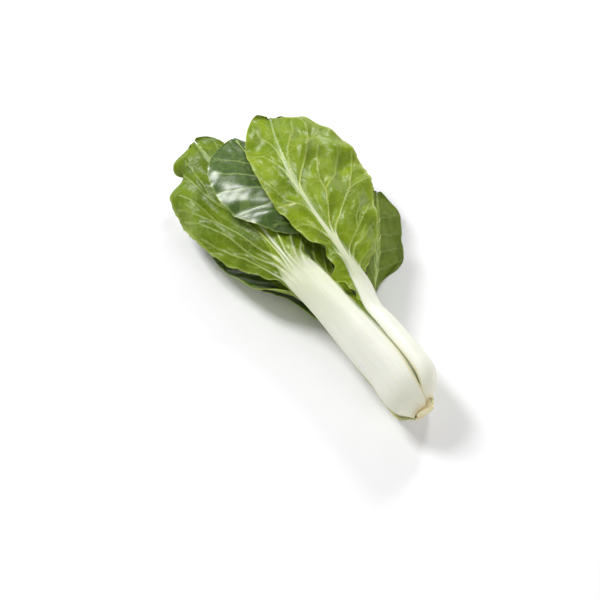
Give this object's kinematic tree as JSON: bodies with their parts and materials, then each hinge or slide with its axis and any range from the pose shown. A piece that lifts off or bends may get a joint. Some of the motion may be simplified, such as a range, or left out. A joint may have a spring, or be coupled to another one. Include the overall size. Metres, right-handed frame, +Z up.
{
  "type": "bok choy",
  "caption": "Head of white-stemmed bok choy lying on its side, crisp white stalks wrapped round a short cut stem and waved green leaf blades with white ribs.",
  "frame": {"origin": "on the surface that the head lies on, under the middle of its bounding box", "axes": "+Z up from the surface, +Y from the cut stem towards the leaf tips, +X to the right seen from above with the tips away from the viewer"},
  "size_m": [0.13, 0.2442, 0.0555],
  "materials": {
    "stem": "cut plant stem, tan to pale yellow, dry and slightly fibrous",
    "stalk": "crisp fleshy leaf stalk, white to pale green, satin with fine lengthwise ribs",
    "blade": "fresh leaf, glossy darker green above, matt lighter green below, pale veins"
  },
  "bodies": {
    "root": {"stem": "stem", "leaf_1_stalk": "stalk", "leaf_1_blade": "blade", "leaf_2_stalk": "stalk", "leaf_2_blade": "blade", "leaf_3_stalk": "stalk", "leaf_3_blade": "blade", "leaf_4_stalk": "stalk", "leaf_4_blade": "blade", "leaf_5_stalk": "stalk", "leaf_5_blade": "blade", "leaf_6_stalk": "stalk", "leaf_6_blade": "blade", "leaf_7_stalk": "stalk", "leaf_7_blade": "blade", "leaf_8_stalk": "stalk", "leaf_8_blade": "blade", "leaf_9_stalk": "stalk", "leaf_9_blade": "blade"}
  },
  "joints": []
}
